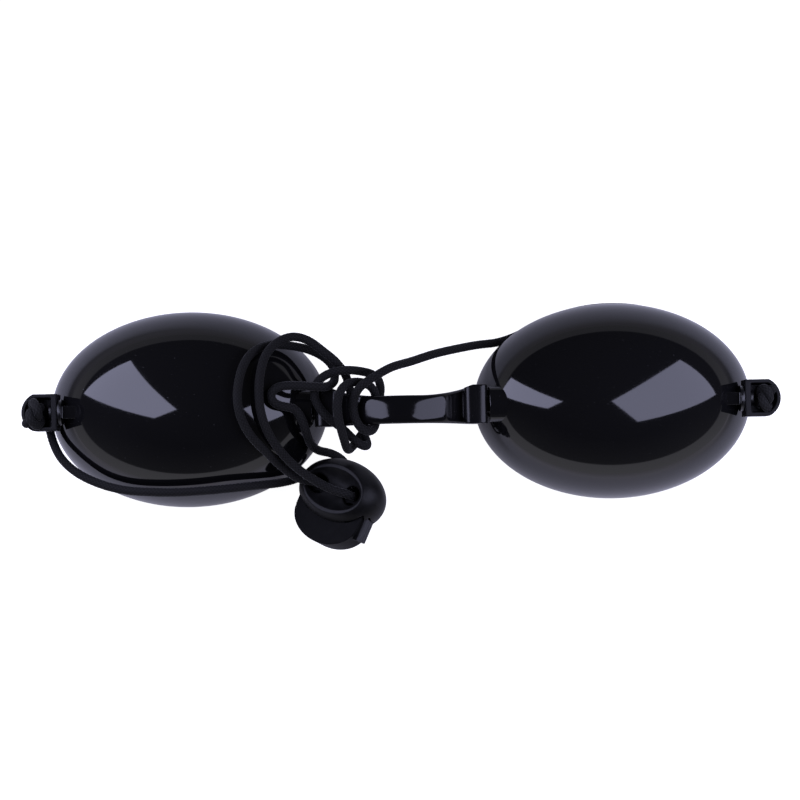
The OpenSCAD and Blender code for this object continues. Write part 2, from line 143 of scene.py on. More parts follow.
def carved(piece, operation, *tools):
    """Cuts tools away from a piece, or keeps what lies inside them."""
    for tool in tools:
        cut = piece.modifiers.new("cut", "BOOLEAN")
        cut.operation, cut.solver, cut.object = operation, "MANIFOLD", tool
        settled(piece)
        bpy.data.objects.remove(tool)
    return piece


def moulded(piece, grain, rounds):
    """Melts joined shapes into one skin with edges as soft as moulding leaves them."""
    skin = piece.modifiers.new("skin", "REMESH")
    skin.mode, skin.voxel_size, skin.use_smooth_shade = "VOXEL", grain * MM, True
    soft = piece.modifiers.new("soft", "SMOOTH")
    soft.factor, soft.iterations = 0.5, rounds
    settled(piece)
    print(piece.name, "faces", len(piece.data.polygons))
    return piece


def mirrored(piece, name):
    """The other side's piece, its faces turned to point outwards again."""
    mesh = piece.data.copy()
    mesh.transform(Matrix.Diagonal((-1, 1, 1, 1)))
    mesh.flip_normals()
    return added(name, mesh)


def circle(n):
    """The cosine and the sine of n equal steps round a circle."""
    return [(math.cos(2 * math.pi * k / n), math.sin(2 * math.pi * k / n)) for k in range(n)]


def two_ended(n):
    """The faces of a bar: two ends with n corners, and the sides between them."""
    faces = [tuple(range(n - 1, -1, -1)), tuple(range(n, 2 * n))]
    return faces + [(i, (i + 1) % n, n + (i + 1) % n, n + i) for i in range(n)]


def ring_faces(first, rings, around):
    """The faces between rings of points that are listed one ring after another."""
    faces = []
    for j in range(rings - 1):
        for i in range(around):
            a, b = first + j * around + i, first + j * around + (i + 1) % around
            faces.append((a, a + around, b + around, b))
    return faces


def closed_faces(rings, around):
    """The faces of a closed skin: one point, some rings of points and a last point."""
    last = 1 + rings * around
    tail = last - around
    top = [(0, 1 + i, 1 + (i + 1) % around) for i in range(around)]
    bottom = [(last, tail + (i + 1) % around, tail + i) for i in range(around)]
    return top + ring_faces(1, rings, around) + bottom


def prism(name, outline, low, high):
    """An outline in the XY plane, raised from one height to another."""
    points = [(x, y, z) for z in (low, high) for x, y in outline]
    return new_piece(name, points, two_ended(len(outline)), smooth=False)


def side_prism(name, outline, near, far):
    """An outline in the XZ plane, carried along Y from near to far."""
    piece = prism(name, outline, -far, -near)
    piece.data.transform(Matrix.Rotation(math.pi / 2, 4, "X"))
    return piece


def block(name, low, high):
    """A box between two opposite corners."""
    outline = [(low[0], low[1]), (high[0], low[1]), (high[0], high[1]), (low[0], high[1])]
    return prism(name, outline, low[2], high[2])


def rod(name, start, end, radius):
    """A round bar between two points."""
    a, b = Vector(start), Vector(end)
    out = (b - a).normalized()
    side = out.orthogonal().normalized()
    other = out.cross(side)
    ring = [side * c + other * s for c, s in circle(ROD_SIDES)]
    points = [middle + radius * v for middle in (a, b) for v in ring]
    return new_piece(name, points, two_ended(ROD_SIDES), smooth=False)


def ball(name, centre, radii):
    """An ellipsoid with closed poles."""
    centre, radii = Vector(centre), Vector(radii)
    pole = Vector((0, 0, radii.z))
    ring = circle(BALL_AROUND)
    points = [centre + pole]
    for j in range(1, BALL_UP):
        a = math.pi * j / BALL_UP
        wide, deep, high = radii.x * math.sin(a), radii.y * math.sin(a), radii.z * math.cos(a)
        points += [centre + Vector((wide * c, deep * s, high)) for c, s in ring]
    points.append(centre - pole)
    return new_piece(name, points, closed_faces(BALL_UP - 1, BALL_AROUND))


# %% [markdown]
# ## The elastic cord's route
# One cord, about 1.9 mm thick and half a metre long, leaves the left cap, follows the cup's flank, passes
# the lock, goes round a wide loop and through the lock again, takes a second loop, crosses over the bridge
# three times and runs on behind the right cup. The points are the solid model's, in millimetres, some of
# them moved by up to 1.4 mm, with two more at the outer loop's sharp turn on the cup.

# %% Route points
CORD = 1.9
LOCK_AT = Vector((-12.8, -18.8, 10.0273))
LOCK_TURN = (math.radians(-5), math.radians(-25), math.radians(-22))
HOLE_REACH, HOLE_STOP, LOCK_HALF = 4.2, 3.3, 5.2
lock_matrix = (Matrix.Rotation(LOCK_TURN[2], 3, "Z") @ Matrix.Rotation(LOCK_TURN[1], 3, "Y")
               @ Matrix.Rotation(LOCK_TURN[0], 3, "X"))


def at_lock(x, y, z):
    """A point given beside the lock, in the shield's own frame."""
    return tuple(LOCK_AT + lock_matrix @ Vector((x, y, z)))


def in_hole(side, face):
    """Two points in a hole of the lock, on its left (-1) or right (1), at its back (-1) or front (1)."""
    return [at_lock(side * HOLE_REACH, 0, z) for z in sorted((face * HOLE_STOP, face * LOCK_HALF))]


left_route = [
    (-75, -1.1, 15), (-75, -1.1, 12.8), (-74.9, -2, 11.2), (-74.6, -4.2, 10.6), (-73.7, -7.2, 11),
    (-71.8, -10.4, 12), (-68.6, -13.2, 12.8), (-64, -15.5, 13.4), (-58.5, -17, 14.6), (-53, -17.5, 16),
    (-47.5, -17.7, 16.8), (-42, -17.5, 17), (-36, -17.1, 16.4), (-30.5, -16.6, 14.2), (-26.2, -16.2, 10.9),
    (-23.4, -15.6, 7.5), (-21.7, -14.8, 4.3), (-19.6, -13.8, 1.3), (-16.8, -14.4, 1), (-14.8, -16.2, 1),
    (-13.9, -18.2, 1.5)] + in_hole(-1, -1)
outer_route = in_hole(-1, 1) + [
    (-21.8, -15.4, 14), (-25, -13, 15.3), (-28.5, -9.4, 18.9), (-31, -6.6, 21.1), (-32.9, -3, 22.7),
    (-33.7, 0.8, 23.2), (-33.4, 4.8, 22.6), (-32.4, 8.5, 21.1), (-30.4, 11.4, 18.8), (-27.6, 12.8, 16.3),
    (-24.3, 12.8, 14), (-20.7, 12.3, 12.8), (-17.1, 10.9, 12.4), (-14.8, 9.1, 12.1), (-13.8, 7.4, 12),
    (-13.9, 6, 13.2), (-13.9, 4.8, 15.8), (-15.2, 3.6, 18.4), (-17.8, 3.6, 20.2), (-21.5, 3.9, 20.2),
    (-24.8, 3.9, 20.1), (-26.5, 3.3, 20.4), (-27.2, 1.8, 20.6), (-26.5, 0.3, 20.3), (-25, -0.3, 20),
    (-22, -0.8, 18.9), (-20.8, -2.8, 18.3), (-19.8, -6.1, 16.9), (-19.3, -8.1, 13.6), (-17.7, -9.5, 9.8),
    (-15.4, -10, 6), (-12.7, -11.6, 2.6), (-10.8, -15, 1.7), (-8.2, -18.5, 2.2),
    (-6.8, -21.1, 4.1)] + in_hole(1, -1)
winding_points = [
    (-13, 8.4, 14.6), (-11.5, 6.3, 12.8), (-10.6, 2.5, 11.7), (-9.4, -2, 11.4), (-7.7, -7, 12.4),
    (-7.1, -9, 14.6), (-8.9, -8.5, 16.4), (-12.4, -5, 16.6), (-15.6, -2.6, 17.5), (-18.1, 1.4, 17.6),
    (-17.7, 4.4, 17.4), (-15.4, 6.3, 17.3), (-11.8, 7.1, 17.4), (-8, 6.8, 16), (-5, 5.8, 13.6),
    (-4.2, 3.2, 11.2), (-5.6, -1.2, 8.8), (-8.4, -6, 9.2), (-10.4, -8.8, 11.8), (-11.4, -9.6, 15.2),
    (-11.9, -7.8, 18.4), (-12.8, -4.2, 20.2), (-13.2, 0.2, 20.4), (-12, 3.6, 20), (-9.4, 4.6, 18.6),
    (-7.2, 4.2, 17.4), (-5.7, 3.2, 16.2), (-5.1, 0.6, 15.4), (-5.3, -3.9, 14.8), (-6.2, -5.9, 16.8),
    (-8.5, -5.3, 18.9), (-10, -1.8, 18.4), (-9.8, 1.2, 19), (-8.2, 3.6, 20.8), (-5.4, 5.4, 20.2)]


def beyond(end, near, far, reach):
    """A point that carries a curve straight on past its end; near and far are the next points in."""
    end, near, far = Vector(end), Vector(near), Vector(far)
    return tuple(end + (end - (end * 8 + near * 9 - far) / 16).normalized() * reach)


inner_route = in_hole(1, 1) + [
    (-14.8, -17.8, 15.4), (-18.4, -15.8, 16), (-22.3, -12.9, 16.8), (-25.6, -9.2, 18.8),
    (-27.8, -5.4, 20.8), (-29, -1.4, 21.9), (-29.3, 2.8, 22), (-28.9, 7, 21.4), (-27.9, 10.4, 20),
    (-25.8, 13, 18.2), (-22.4, 14.5, 16.2), (-18.9, 13.5, 15), (-16.1, 11.2, 15.6),
    beyond(*winding_points[:3], CORD)] + winding_points
right_route = [
    beyond(*winding_points[:-4:-1], 2 * CORD), (2.5, 8.8, 15), (7, 10.4, 11.6), (12, 11.7, 7.6),
    (17, 12.8, 3.6), (21.5, 13.4, 1.4), (25.9, 14.9, 1.1), (30.4, 17.2, 1), (35.5, 19.1, 1), (41, 20.3, 1),
    (46.5, 20.6, 1), (52, 20.1, 1), (57.5, 18.6, 1), (62.5, 16.3, 1), (67.3, 13, 1), (71.1, 8.8, 1),
    (73.8, 4.4, 1.1), (76.2, 1, 2.6), (76.8, -0.5, 6), (75.7, -1, 10.4), (75, -1.1, 12.8), (75, -1.1, 15)]

# %% [markdown]
# ## From points to a smooth line
# A curve through every point (a centripetal Catmull-Rom curve) turns the route into a line with no
# corners. It is cut into equal short steps, as the braid needs, and eased, because limp elastic bends in
# soft bows.

# %% Smooth lines
POINTS_BETWEEN = 24


def smooth_line(points, step, ease=1.2):
    """A smooth line through points, in equal steps and eased over a length, all in millimetres."""
    p = np.array(points, float)
    p = np.concatenate([2 * p[:1] - p[1:2], p, 2 * p[-1:] - p[-2:-1]])
    knots = np.sqrt(np.linalg.norm(np.diff(p, axis=0), axis=1))
    t = np.linspace(0, 1, POINTS_BETWEEN, endpoint=False)[:, None]
    rows = []
    for a, b, c, d, g, h, k in zip(p[:-3], p[1:-2], p[2:-1], p[3:], knots[:-2], knots[1:-1], knots[2:]):
        leave = c - b + h * ((b - a) / g - (c - a) / (g + h))
        arrive = c - b + h * ((d - c) / k - (d - b) / (h + k))
        rows.append(b + t * leave + t ** 2 * (3 * (c - b) - 2 * leave - arrive)
                    + t ** 3 * (2 * (b - c) + leave + arrive))
    dense = np.concatenate(rows + [p[-2:-1]])
    run = np.r_[0, np.cumsum(np.linalg.norm(np.diff(dense, axis=0), axis=1))]
    at = np.linspace(0, run[-1], int(run[-1] / step) + 1)
    line = np.stack([np.interp(at, run, dense[:, k]) for k in range(3)], axis=1)
    n = int(3 * ease / step)
    weight = np.exp(-0.5 * (np.arange(-n, n + 1) * step / ease) ** 2)
    carried_on = np.concatenate([2 * line[:1] - line[n:0:-1], line, 2 * line[-1:] - line[-2:-n - 2:-1]])
    return np.stack([np.convolve(carried_on[:, k], weight / weight.sum(), "valid") for k in range(3)], axis=1)


def carried_frames(line):
    """Two directions across the line at each point, carried along it without twist."""
    along = np.gradient(line, axis=0)
    along /= np.linalg.norm(along, axis=1)[:, None]
    side = np.cross(along[0], (0, 0, 1) if abs(along[0][2]) < 0.9 else (1, 0, 0))
    sides = []
    for t in along:
        side = side - t * (side @ t)
        side = side / np.linalg.norm(side)
        sides.append(side)
    sides = np.array(sides)
    return sides, np.cross(along, sides)


def tightest(line):
    """The smallest bend radius along a line of equal steps, and the place where it is."""
    coarse = line[::4]
    steps = np.diff(coarse, axis=0)
    lengths = np.linalg.norm(steps, axis=1)
    along = steps / lengths[:, None]
    angles = np.arccos(np.clip((along[1:] * along[:-1]).sum(axis=1), -1, 1))
    k = int(np.argmax(angles))
    return round(float(lengths[k] / angles[k]), 1), coarse[k + 1].round(1).tolist()


# %% Braided tubes
CARRIERS, BRAID_PITCH, BRAID_DEPTH = 8, 0.8, 0.13
STRAND_ROUND, STRAND_MIDDLE, STRAND_SWING = 0.6, 0.62, 0.38
RING_STEP, SIDES, TIP = 0.24, 24, 0.005


def braid_height(turn_share, run):
    """How high a strand of the braid stands, from 0 in a gap to 1 on a crown."""
    a = CARRIERS * turn_share + run / BRAID_PITCH
    b = CARRIERS * turn_share - run / BRAID_PITCH
    over = np.sin(np.pi * (b + np.floor(a)))
    under = -np.sin(np.pi * (a + np.floor(b)))
    first = np.abs(np.sin(np.pi * a)) ** STRAND_ROUND * (STRAND_MIDDLE + STRAND_SWING * over)
    second = np.abs(np.sin(np.pi * b)) ** STRAND_ROUND * (STRAND_MIDDLE + STRAND_SWING * under)
    return np.maximum(first, second)


def braided_tube(name, line, run_start=0.0, sealed=False):
    """A braided cord along a line, with its turn and its run as a UV map and its far end sealed or not."""
    sides, others = carried_frames(line)
    run = run_start + np.r_[0, np.cumsum(np.linalg.norm(np.diff(line, axis=0), axis=1))]
    share = np.arange(SIDES) / SIDES
    radius = CORD / 2 - BRAID_DEPTH * (1 - braid_height(share[None, :], run[:, None]))
    if sealed:
        reach = np.clip((run[-1] - run) / (CORD / 2), 0, 1)
        radius = radius * (np.sqrt(1 - (1 - reach) ** 2) * (1 - TIP) + TIP)[:, None]
    angle = 2 * np.pi * share
    rings = line[:, None, :] + radius[:, :, None] * (np.cos(angle)[None, :, None] * sides[:, None, :]
                                                     + np.sin(angle)[None, :, None] * others[:, None, :])
    points = rings.reshape(-1, 3).tolist() + [line[0].tolist(), line[-1].tolist()]
    n = len(line)
    faces, uv = [], []
    for i in range(n - 1):
        for k in range(SIDES):
            a, b = i * SIDES + k, i * SIDES + (k + 1) % SIDES
            faces.append((a, b, b + SIDES, a + SIDES))
            u, v = k / SIDES, (k + 1) / SIDES
            uv += [(u, run[i]), (v, run[i]), (v, run[i + 1]), (u, run[i + 1])]
    first, last, last_ring = n * SIDES, n * SIDES + 1, (n - 1) * SIDES
    for k in range(SIDES):
        a, b = k, (k + 1) % SIDES
        faces += [(first, b, a), (last, last_ring + a, last_ring + b)]
        uv += [(k / SIDES, run[0])] * 3 + [(k / SIDES, run[-1])] * 3
    piece = new_piece(name, points, faces)
    layer = piece.data.uv_layers.new(name="braid")
    layer.data.foreach_set("uv", np.array(uv, np.float32).ravel())
    return piece, (line * MM).tolist(), float(run[-1] - run[0]), float(run[-1])


# %% [markdown]
# ## The four stretches of cord
# Each stretch starts and ends where something takes hold of the cord: a cap's floor, the lock, or the
# bridge. Three of them cross a hinge.

# %% Cord pieces
last_half = smooth_line(inner_route + right_route, RING_STEP)
seam = int(np.argmin(np.linalg.norm(last_half - np.array(winding_points[-1]), axis=1)))

cords, run_end = [], 0.0
for name, line in (("cord_left", smooth_line(left_route, RING_STEP)),
                   ("cord_outer", smooth_line(outer_route, RING_STEP)),
                   ("cord_wound", last_half[:seam + 1]), ("cord_right", last_half[seam:])):
    piece, path, length, run_end = braided_tube(name, line, run_end)
    cords.append((piece, path, length))
    print(name, "length in mm", round(length, 1), "tightest bend and its place", tightest(line))
cord_left, cord_outer, cord_wound, cord_right = (piece for piece, path, length in cords)

# %% [markdown]
# ## The knots
# A knot inside each cap stops the cord's end. A simple overhand knot is a trefoil whose loop is cut open:
# one end goes down through the cap's floor and the other stands up as a short, heat-sealed tail.

# %% Knots
LOBE, OPENING, KNOT_TURN, KNOT_EASE = math.radians(240), 0.26, math.radians(150), 0.3


def knot_line(centre, spread, tight, squash, entry, tail):
    """The line of an overhand knot between the hole below it and its tail."""
    rows = []
    for t in np.linspace(LOBE + OPENING, LOBE + 2 * math.pi - OPENING, 90):
        r = spread + tight * math.cos(3 * t)
        spin = 2 * t + KNOT_TURN
        rows.append((centre[0] + squash[0] * tight * math.sin(3 * t),
                     centre[1] + squash[1] * r * math.cos(spin),
                     centre[2] + squash[2] * r * math.sin(spin)))
    return smooth_line([entry] + rows[::6] + [rows[-1]] + tail, RING_STEP, KNOT_EASE)


left_knot_line = knot_line((-76.2, -0.8, 17.9), 1.8, 0.9, (1.0, 0.98, 1.05), (-75, -1.1, 14.7),
                           [(-77.5, -2.6, 17.0), (-78.0, -2.8, 19.0), (-77.6, -2.6, 20.4)])
right_knot_line = knot_line((76.0, -0.6, 17.0), 1.5, 0.82, (0.95, 0.97, 0.95), (75, -1.1, 14.7),
                            [(77.4, 0.9, 16.0), (77.6, 1.3, 17.4), (77.2, 0.8, 18.5)])
left_knot = braided_tube("knot_left", left_knot_line, sealed=True)[0]
right_knot = braided_tube("knot_right", right_knot_line, sealed=True)[0]

# %% [markdown]
# ## The eye cups
# A cup is half an egg with a short skirt that draws in to the rim, and its wall is 1.8 mm thick. Its
# polish shows every dent, so the surface is written ring by ring from the egg's own formula. The rim's two
# edges are small quarter rounds.

# %% Cup shell
CUP_X, CUP_A, CUP_B, CUP_AROUND = 45.4, 29.65, 21.0, 224
DOME, SKIRT, SKIRT_CURVE, WALL = 18.5, 4.5, 6.6, 1.8
RIM_ROUND, RIM_STEPS, LEAN_OUTSIDE, LEAN_INSIDE = 0.4, 6, 0.35, -0.2
HINGE = (15.7, -0.5, 13.6)
PEG_Z, PEG_Y = 15.6, -0.5
CAP_X, CAP_FLANGE = 71.8, 1.2


def cup_rings(inset, up_steps, down_steps):
    """Half widths, half depths and heights of an egg's rings, from its top to near its rim."""
    a, b, top = CUP_A - inset, CUP_B - inset, DOME - inset
    rows = []
    for j in range(1, up_steps + 1):
        t = math.pi / 2 * j / up_steps
        rows.append((a * math.sin(t), b * math.sin(t), SKIRT + top * math.cos(t)))
    low = math.asin((SKIRT - RIM_ROUND) / SKIRT_CURVE)
    for j in range(1, down_steps + 1):
        t = low * j / down_steps
        rows.append((a * math.cos(t), b * math.cos(t), SKIRT - SKIRT_CURVE * math.sin(t)))
    return rows


def rim_rings(a, b, side, lean):
    """Rings of the rim's quarter round, from the wall to its foot: side is -1 outside and 1 inside."""
    rows = []
    for j in range(1, RIM_STEPS + 1):
        t = math.pi / 2 * j / RIM_STEPS
        draw = side * (RIM_ROUND * (1 - math.cos(t)) + lean * math.sin(t))
        rows.append((a + draw, b + draw, RIM_ROUND * (1 - math.sin(t))))
    return rows


def cup_shell(name):
    """The right cup's wall as one closed skin."""
    outer, inner = cup_rings(0, 84, 30), cup_rings(WALL, 64, 24)
    rows = outer + rim_rings(*outer[-1][:2], -1, LEAN_OUTSIDE)
    rows += rim_rings(*inner[-1][:2], 1, LEAN_INSIDE)[::-1] + inner[::-1]
    ring = circle(CUP_AROUND)
    points = [(CUP_X, 0, SKIRT + DOME)]
    for a, b, z in rows:
        points += [(CUP_X + a * c, b * s, z) for c, s in ring]
    points.append((CUP_X, 0, SKIRT + DOME - WALL))
    return new_piece(name, points, closed_faces(len(rows), CUP_AROUND))


# %% [markdown]
# ### What is moulded onto a cup
# Inboard a rounded boss carries the thin neck and its trunnions, which turn in the bridge. Outboard a flat
# tongue with a sloping top carries a thin shoulder and a headed peg, which hold the end cap. Melting these
# small solids together gives each inside corner the fillet of a moulded piece.

# %% Cup fittings
BOSS_FACE, BOSS_BACK, BOSS_WIDTH, BOSS_HEIGHT = 18.6, 30.575, 7.6, 5.2
TRUNNION, TRUNNION_HALF = 1.3, 3.15
NECK_HALF, NECK_BELOW, NECK_ABOVE, NECK_ROOT = 1.6, 1.3, 0.3, 0.6
SHOULDER, SHOULDER_DEPTH, SHOULDER_GAP = 2.7, 0.8, 0.05
PEG, PEG_ROOT, PEG_TIP, PEG_HEAD, PEG_HEAD_DEPTH = 1.2, 0.9, 0.3, 1.6, 0.7
TONGUE_START, TONGUE_END, TONGUE_HALF = 65.2, CAP_X - 0.4, 1.3


def inner_egg():
    """A tool that takes away what would stand inside the cup, from the middle of its wall inwards."""
    return ball("hollow", (CUP_X, 0, SKIRT), (CUP_A - WALL / 2, CUP_B - WALL / 2, DOME - WALL / 2))


def hinge_rod(name, x, half, radius):
    """A round bar along a hinge's axis."""
    return rod(name, (x, HINGE[1] - half, HINGE[2]), (x, HINGE[1] + half, HINGE[2]), radius)


def peg_rod(name, start, end, radius):
    """A round bar along the peg's axis."""
    return rod(name, (start, PEG_Y, PEG_Z), (end, PEG_Y, PEG_Z), radius)


def hinge_fittings():
    """The oval boss, the neck and the trunnions."""
    boss = rod("boss", (BOSS_FACE, 0, 0), (BOSS_BACK, 0, 0), 1)
    oval = Matrix.Diagonal((1, BOSS_WIDTH / 2, BOSS_HEIGHT / 2, 1))
    boss.data.transform(Matrix.Translation((0, HINGE[1] * MM, HINGE[2] * MM)) @ oval)
    boss = carved(boss, "DIFFERENCE", inner_egg())
    neck = block("neck", (HINGE[0], HINGE[1] - NECK_HALF, HINGE[2] - NECK_BELOW),
                 (BOSS_FACE + NECK_ROOT, HINGE[1] + NECK_HALF, HINGE[2] + NECK_ABOVE))
    trunnions = hinge_rod("trunnions", HINGE[0], TRUNNION_HALF, TRUNNION)
    return moulded(joined("hinge_part", boss, neck, trunnions), grain=0.13, rounds=3)


def cap_fittings():
    """The tongue, the shoulder and the headed peg."""
    shoulder_face, head_at, low = CAP_X - SHOULDER_GAP, CAP_X + CAP_FLANGE, PEG_Z - PEG
    shoulder = peg_rod("shoulder", shoulder_face - SHOULDER_DEPTH, shoulder_face, SHOULDER)
    peg = peg_rod("peg", CAP_X - PEG_ROOT, head_at + PEG_TIP, PEG)
    head = peg_rod("peg_head", head_at, head_at + PEG_HEAD_DEPTH, PEG_HEAD)
    side = [(TONGUE_START, low), (TONGUE_END, low), (TONGUE_END, PEG_Z + TONGUE_HALF), (TONGUE_START, PEG_Z)]
    tongue = side_prism("tongue", side, PEG_Y - TONGUE_HALF, PEG_Y + TONGUE_HALF)
    tongue = carved(tongue, "DIFFERENCE", inner_egg())
    return moulded(joined("peg_part", shoulder, peg, tongue, head), grain=0.1, rounds=2)


right_cup = joined("cup_right", cup_shell("shell"), hinge_fittings(), cap_fittings())
left_cup = mirrored(right_cup, "cup_left")

# %% [markdown]
# ## The nose bridge
# The bridge is a strap with a softly crowned section, arched over the nose and steeper towards its feet.
# In plan its edges curve out to two blocks with flattened round tops. A bar across each end makes the
# block, and one outline in plan trims all. Melting them gives the flowing corners of a moulded piece.

# %% Bridge
STRAP_WIDTH, STRAP_THICK, STRAP_Y = 5.9, 2.0, -1.45
ARCH_R, SLOPE = 15.0, math.radians(30)
FOOT_SLOPE, FOOT_START, FOOT_RUN = math.radians(43.5), 7.9, 1.6
BLOCK_R, BLOCK_WIDTH, BLOCK_SQUARE = 2.5, 8.2, 0.54
SECTION_SQUARE, SECTION_CROWN = 0.4, 0.6
FLARE_LENGTH, FLARE_END = 11.0, HINGE[0] - 0.65
STRAP_END, STRAP_OVERLAP = HINGE[0] - BLOCK_R, 0.8
TRIM_LOW, TRIM_HIGH = 5, 30
SLOT_GAP, SLOT_OUT, SLOT_BELOW, SLOT_ABOVE = 0.3, 3.4, 3.5, 1.004
BORE, BORE_HALF = 1.36, 3.3
crest = HINGE[2] + (STRAP_END - ARCH_R * math.sin(SLOPE)) * math.tan(SLOPE) + ARCH_R * (1 - math.cos(SLOPE))


def arch(x):
    """Height and slope of the strap's middle line at a distance from the crest."""
    reach = ARCH_R * math.sin(SLOPE)
    if abs(x) <= reach:
        a = math.asin(x / ARCH_R)
        return crest - ARCH_R * (1 - math.cos(a)), -a
    low, steep = math.tan(SLOPE), math.tan(FOOT_SLOPE)
    past = max(abs(x) - FOOT_START, 0)
    curved = min(past, FOOT_RUN)
    fall = low * (abs(x) - reach) + (steep - low) * (curved * curved / (2 * FOOT_RUN) + past - curved)
    lean = math.atan(low + (steep - low) * curved / FOOT_RUN)
    return crest - ARCH_R * (1 - math.cos(SLOPE)) - fall, -math.copysign(lean, x)


def plan_edges(x):
    """The bridge's near and far edges in plan at a distance from the crest."""
    t = min(max((abs(x) - FLARE_END + FLARE_LENGTH) / FLARE_LENGTH, 0), 1)
    edges = []
    for s in (-1, 1):
        edge = STRAP_Y + s * STRAP_WIDTH / 2
        edges.append(edge + (HINGE[1] + s * BLOCK_WIDTH / 2 - edge) * t * t)
    return edges


def squarish(share, power):
    """A cosine or a sine pushed outwards, so that a round section grows flatter sides."""
    return math.copysign(abs(share) ** power, share)


def strap():
    """The crowned strap: its section carried along the arch."""
    stations = np.linspace(-STRAP_END - STRAP_OVERLAP, STRAP_END + STRAP_OVERLAP, 161)
    section = [(squarish(c, SECTION_SQUARE), squarish(s, SECTION_CROWN)) for c, s in circle(64)]
    points = []
    for x in stations:
        z, lean = arch(x)
        near, far = plan_edges(x)
        for sy, sz in section:
            dz = sz * STRAP_THICK / 2
            points.append((x - dz * math.sin(lean), (near + far) / 2 + sy * (far - near) / 2,
                           z + dz * math.cos(lean)))
    n = len(section)
    ends = [tuple(range(n)), tuple(range(len(points) - 1, len(points) - n - 1, -1))]
    return new_piece("strap", points, ends + ring_faces(0, len(stations), n))


def hinge_bar(s):
    """The bar across one end of the bridge."""
    corners = [(squarish(c, BLOCK_SQUARE), squarish(d, BLOCK_SQUARE)) for c, d in circle(96)]
    side = [(s * HINGE[0] + BLOCK_R * c, HINGE[2] + BLOCK_R * d) for c, d in corners]
    return side_prism("bar", side, HINGE[1] - BLOCK_WIDTH / 2, HINGE[1] + BLOCK_WIDTH / 2)


trim_x = np.linspace(-HINGE[0] - BLOCK_R - 1, HINGE[0] + BLOCK_R + 1, 240)
trim_plan = [(x, plan_edges(x)[0]) for x in trim_x] + [(x, plan_edges(x)[1]) for x in trim_x[::-1]]
bridge = moulded(joined("bridge", strap(), hinge_bar(-1), hinge_bar(1)), grain=0.12, rounds=2)
bridge = carved(bridge, "INTERSECT", prism("trim", trim_plan, TRIM_LOW, TRIM_HIGH))
for s in (-1, 1):
    reach = sorted((s * (HINGE[0] - TRUNNION - SLOT_GAP), s * (HINGE[0] + SLOT_OUT)))
    slot = block("slot", (reach[0], HINGE[1] - NECK_HALF - SLOT_GAP, HINGE[2] - SLOT_BELOW),
                 (reach[1], HINGE[1] + NECK_HALF + SLOT_GAP, HINGE[2] + SLOT_ABOVE))
    bridge = carved(bridge, "DIFFERENCE", slot, hinge_rod("bore", s * HINGE[0], BORE_HALF, BORE))
bridge = moulded(bridge, grain=0.12, rounds=3)

# %% [markdown]
# ## The end caps
# A cap is a small open pocket, flat where it is pushed up to the cup and round outside. Its floor has a
# hole for the cord, and its flange a bore for the peg.

# %% End caps
CAP_LENGTH, CAP_WIDTH, CAP_HEIGHT, CAP_WALL, CAP_ROUND = 7.4, 7.7, 5.0, 0.8, 2.4
PEG_BORE, FLOOR_HOLE, FLOOR_HOLE_AT = 1.25, 0.9, (75.04, PEG_Y - 0.62)
cap_arc = ((CAP_WIDTH / 2) ** 2 + CAP_ROUND ** 2) / (2 * CAP_ROUND)
cap_foot = PEG_Z - CAP_HEIGHT / 2


def cap_outline(start, length, width, arc):
    """A flat end and two sides that close in a round end."""
    half = math.asin(width / 2 / arc)
    points = [(start, PEG_Y - width / 2)]
    for k in range(41):
        a = half * (k / 20 - 1)
        points.append((start + length - arc + arc * math.cos(a), PEG_Y + arc * math.sin(a)))
    return points + [(start, PEG_Y + width / 2)]


cap = prism("cap", cap_outline(CAP_X, CAP_LENGTH, CAP_WIDTH, cap_arc), cap_foot, PEG_Z + CAP_HEIGHT / 2)
pocket_plan = cap_outline(CAP_X + CAP_FLANGE, CAP_LENGTH - CAP_FLANGE - CAP_WALL, CAP_WIDTH - 2 * CAP_WALL,
                          cap_arc - CAP_WALL)
pocket = prism("pocket", pocket_plan, cap_foot + CAP_WALL, PEG_Z + CAP_HEIGHT)
peg_bore = peg_rod("peg_bore", CAP_X - 1, CAP_X + 2, PEG_BORE)
floor_hole = rod("floor_hole", (*FLOOR_HOLE_AT, 11), (*FLOOR_HOLE_AT, 15), FLOOR_HOLE)
right_cap = moulded(carved(cap, "DIFFERENCE", pocket, peg_bore, floor_hole), grain=0.11, rounds=3)
left_cap = mirrored(right_cap, "cap_left")
right_cap.name = "cap_right"

# %% [markdown]
# ## The cord lock
# The lock is a flattened barrel with a dished face and two holes. A plunger slides into its side against
# a spring, and its own two holes pinch the cord. A rib with three ridges, on the plunger's side, runs in a
# notch of the body. Both are built round their own middle, then turned to lie as the cord holds them.

# %% Lock sizes
TRAVEL, FIT, HOLE_R, HOLE_WALL = 3.5, 0.3, 2.1, 1.2
BARREL, DISH, DISH_RISE = (10, 7.3, 7.4), (7.6, 4.8, 2.8), 1.2
PLUNGER_W, PLUNGER_T, PLUNGER_END, PLUNGER_ROUND = 15.6, 6.0, 11.6, 6.0
SLIDE_CORNER, SLIDE_GAP, SLIDE_MOUTH, CLEAR = 3.2, 0.2, 14, 12
RIB_LENGTH, RIB_WIDTH, RIB_DEPTH, RIB_ROOT = 5.0, 3.2, 0.8, 1
RIDGE, RIDGE_OUT, RIDGE_INSET, RIDGE_SPACING = 0.4, 0.6, 0.2, 1.1
POCKET, POCKET_DEPTH, POCKET_MOUTH, SEAT_DEPTH = 1.65, 4, 8, 1.6
inner_end = -TRAVEL + HOLE_R + HOLE_WALL
spring_start = inner_end - POCKET_DEPTH
spring_seat = TRAVEL + SLIDE_GAP + SEAT_DEPTH
rib_start = -PLUNGER_END + PLUNGER_ROUND - RIB_LENGTH / 2


